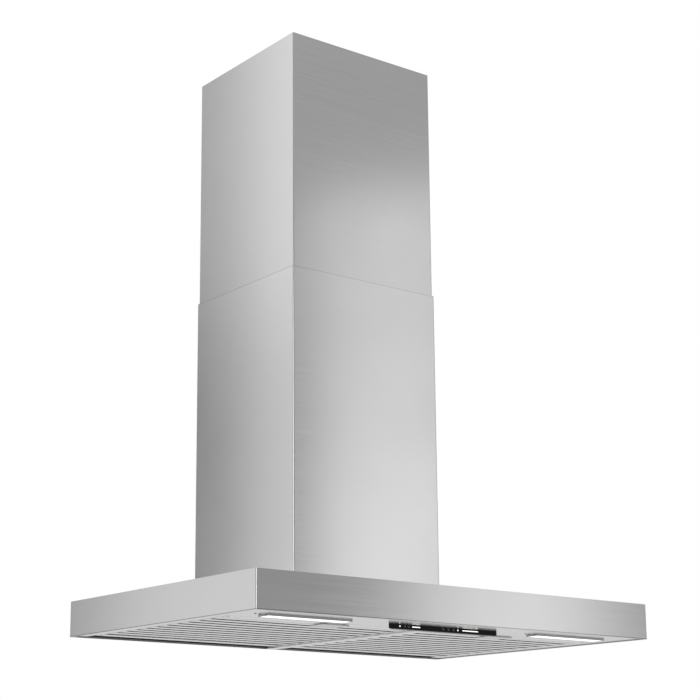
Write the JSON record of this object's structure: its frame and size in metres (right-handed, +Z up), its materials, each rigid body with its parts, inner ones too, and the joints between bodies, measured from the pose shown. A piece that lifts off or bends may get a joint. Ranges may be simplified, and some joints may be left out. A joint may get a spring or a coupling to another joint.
{
  "type": "wall-mounted chimney range hood",
  "caption": "Wall chimney range hood: shallow box canopy, telescoping flue covers, baffle filters that swing down, bar lamps, button pod and a centrifugal blower with a damper.",
  "frame": {"origin": "on the rear face that rests on the wall, centred left to right, level with the canopy's bottom rim", "axes": "+X to the right as seen from the front, +Y into the wall, +Z up"},
  "size_m": [0.75, 0.5, 0.9765],
  "materials": {
    "canopy_steel": "horizontally brushed stainless steel",
    "panel_steel": "bright brushed stainless steel",
    "flue_steel": "finely brushed stainless steel",
    "filter_steel": "satin stainless steel",
    "latch_steel": "bright pressed steel",
    "lamp_bezel": "grey satin metal",
    "lamp_lens": "frosted white diffuser",
    "pod_black": "gloss black",
    "button_black": "satin black",
    "circuit_board": "green circuit board",
    "galvanised_steel": "galvanised sheet",
    "blower_plastic": "moulded dark plastic",
    "zinc_hardware": "zinc-plated",
    "motor_core": "varnished laminations",
    "white_plastic": "moulded white plastic",
    "spring_steel": "spring wire",
    "rubber_black": "black rubber",
    "wire_insulation": "wire insulation"
  },
  "bodies": {
    "hood": {"canopy_shell": "canopy_steel", "bottom_panel": "panel_steel", "filter_center_rail": "panel_steel", "lamp_bezel_left": "lamp_bezel", "lamp_bezel_right": "lamp_bezel", "lamp_lens_left": "lamp_lens", "lamp_lens_right": "lamp_lens", "led_boards": "circuit_board", "led_driver": "white_plastic", "control_pod": "pod_black", "indicator_lights": "lamp_lens", "control_board": "circuit_board", "dome_switches": "spring_steel", "back_plate": "galvanised_steel", "blower_box": "galvanised_steel", "blower_screws": "zinc_hardware", "scroll_left": "blower_plastic", "scroll_right": "blower_plastic", "inlet_guard": "zinc_hardware", "motor_can": "zinc_hardware", "motor_stator": "motor_core", "motor_bracket": "galvanised_steel", "motor_screws": "zinc_hardware", "capacitor": "white_plastic", "capacitor_strap": "galvanised_steel", "terminal_box": "galvanised_steel", "terminal_cover": "galvanised_steel", "cable_bushing": "rubber_black", "wiring_harness": "wire_insulation", "collar_gasket": "rubber_black", "outlet_collar": "blower_plastic", "damper_pin": "zinc_hardware", "lower_flue": "flue_steel", "flue_screws": "zinc_hardware"},
    "upper_flue": {"upper_flue": "flue_steel", "flue_bracket": "galvanised_steel", "bracket_screws": "zinc_hardware"},
    "filter_left": {"filter_frame_left": "filter_steel", "lower_baffles_left": "filter_steel", "upper_baffles_left": "filter_steel", "latch_spring_left": "spring_steel"},
    "filter_right": {"filter_frame_right": "filter_steel", "lower_baffles_right": "filter_steel", "upper_baffles_right": "filter_steel", "latch_spring_right": "spring_steel"},
    "latch_left": {"latch_left": "latch_steel"},
    "latch_right": {"latch_right": "latch_steel"},
    "blower_wheel": {"impeller": "blower_plastic", "impeller_blades": "blower_plastic", "impeller_nut": "zinc_hardware", "motor_shaft": "zinc_hardware", "motor_rotor": "motor_core"},
    "damper_front": {"damper_flap_front": "blower_plastic"},
    "damper_rear": {"damper_flap_rear": "blower_plastic"},
    "button_1": {"button_1": "button_black"},
    "button_2": {"button_2": "button_black"},
    "button_3": {"button_3": "button_black"},
    "button_4": {"button_4": "button_black"},
    "button_5": {"button_5": "button_black"}
  },
  "joints": [
    {"name": "upper_flue_slide", "type": "slide", "parent": "hood", "child": "upper_flue", "axis": [0, 0, 1], "range_m": [-0.37, 0.1]},
    {"name": "filter_left_hinge", "type": "hinge", "parent": "hood", "child": "filter_left", "pos_m": [-0.18, -0.038, 0.0065], "axis": [1, 0, 0], "range_deg": [0, 75]},
    {"name": "filter_right_hinge", "type": "hinge", "parent": "hood", "child": "filter_right", "pos_m": [0.18, -0.038, 0.0065], "axis": [1, 0, 0], "range_deg": [0, 75]},
    {"name": "latch_left_slide", "type": "slide", "parent": "filter_left", "child": "latch_left", "axis": [0, 1, 0], "range_m": [0, 0.0045], "stiffness_N_per_m": 500, "springref_m": -0.003, "deforming": ["latch_spring_left"]},
    {"name": "latch_right_slide", "type": "slide", "parent": "filter_right", "child": "latch_right", "axis": [0, 1, 0], "range_m": [0, 0.0045], "stiffness_N_per_m": 500, "springref_m": -0.003, "deforming": ["latch_spring_right"]},
    {"name": "blower_spin", "type": "hinge", "parent": "hood", "child": "blower_wheel", "pos_m": [0, -0.128, 0.175], "axis": [1, 0, 0], "continuous": true},
    {"name": "damper_front_hinge", "type": "hinge", "parent": "hood", "child": "damper_front", "pos_m": [0, -0.149, 0.3525], "axis": [-1, 0, 0], "range_deg": [0, 72]},
    {"name": "damper_rear_hinge", "type": "hinge", "parent": "hood", "child": "damper_rear", "pos_m": [0, -0.149, 0.3525], "axis": [1, 0, 0], "range_deg": [0, 72]},
    {"name": "button_1_press", "type": "slide", "parent": "hood", "child": "button_1", "axis": [0, 1, 0], "range_m": [0, 0.0008], "stiffness_N_per_m": 1500, "springref_m": -0.0003},
    {"name": "button_2_press", "type": "slide", "parent": "hood", "child": "button_2", "axis": [0, 1, 0], "range_m": [0, 0.0008], "stiffness_N_per_m": 1500, "springref_m": -0.0003},
    {"name": "button_3_press", "type": "slide", "parent": "hood", "child": "button_3", "axis": [0, 1, 0], "range_m": [0, 0.0008], "stiffness_N_per_m": 1500, "springref_m": -0.0003},
    {"name": "button_4_press", "type": "slide", "parent": "hood", "child": "button_4", "axis": [0, 1, 0], "range_m": [0, 0.0008], "stiffness_N_per_m": 1500, "springref_m": -0.0003},
    {"name": "button_5_press", "type": "slide", "parent": "hood", "child": "button_5", "axis": [0, 1, 0], "range_m": [0, 0.0008], "stiffness_N_per_m": 1500, "springref_m": -0.0003}
  ]
}
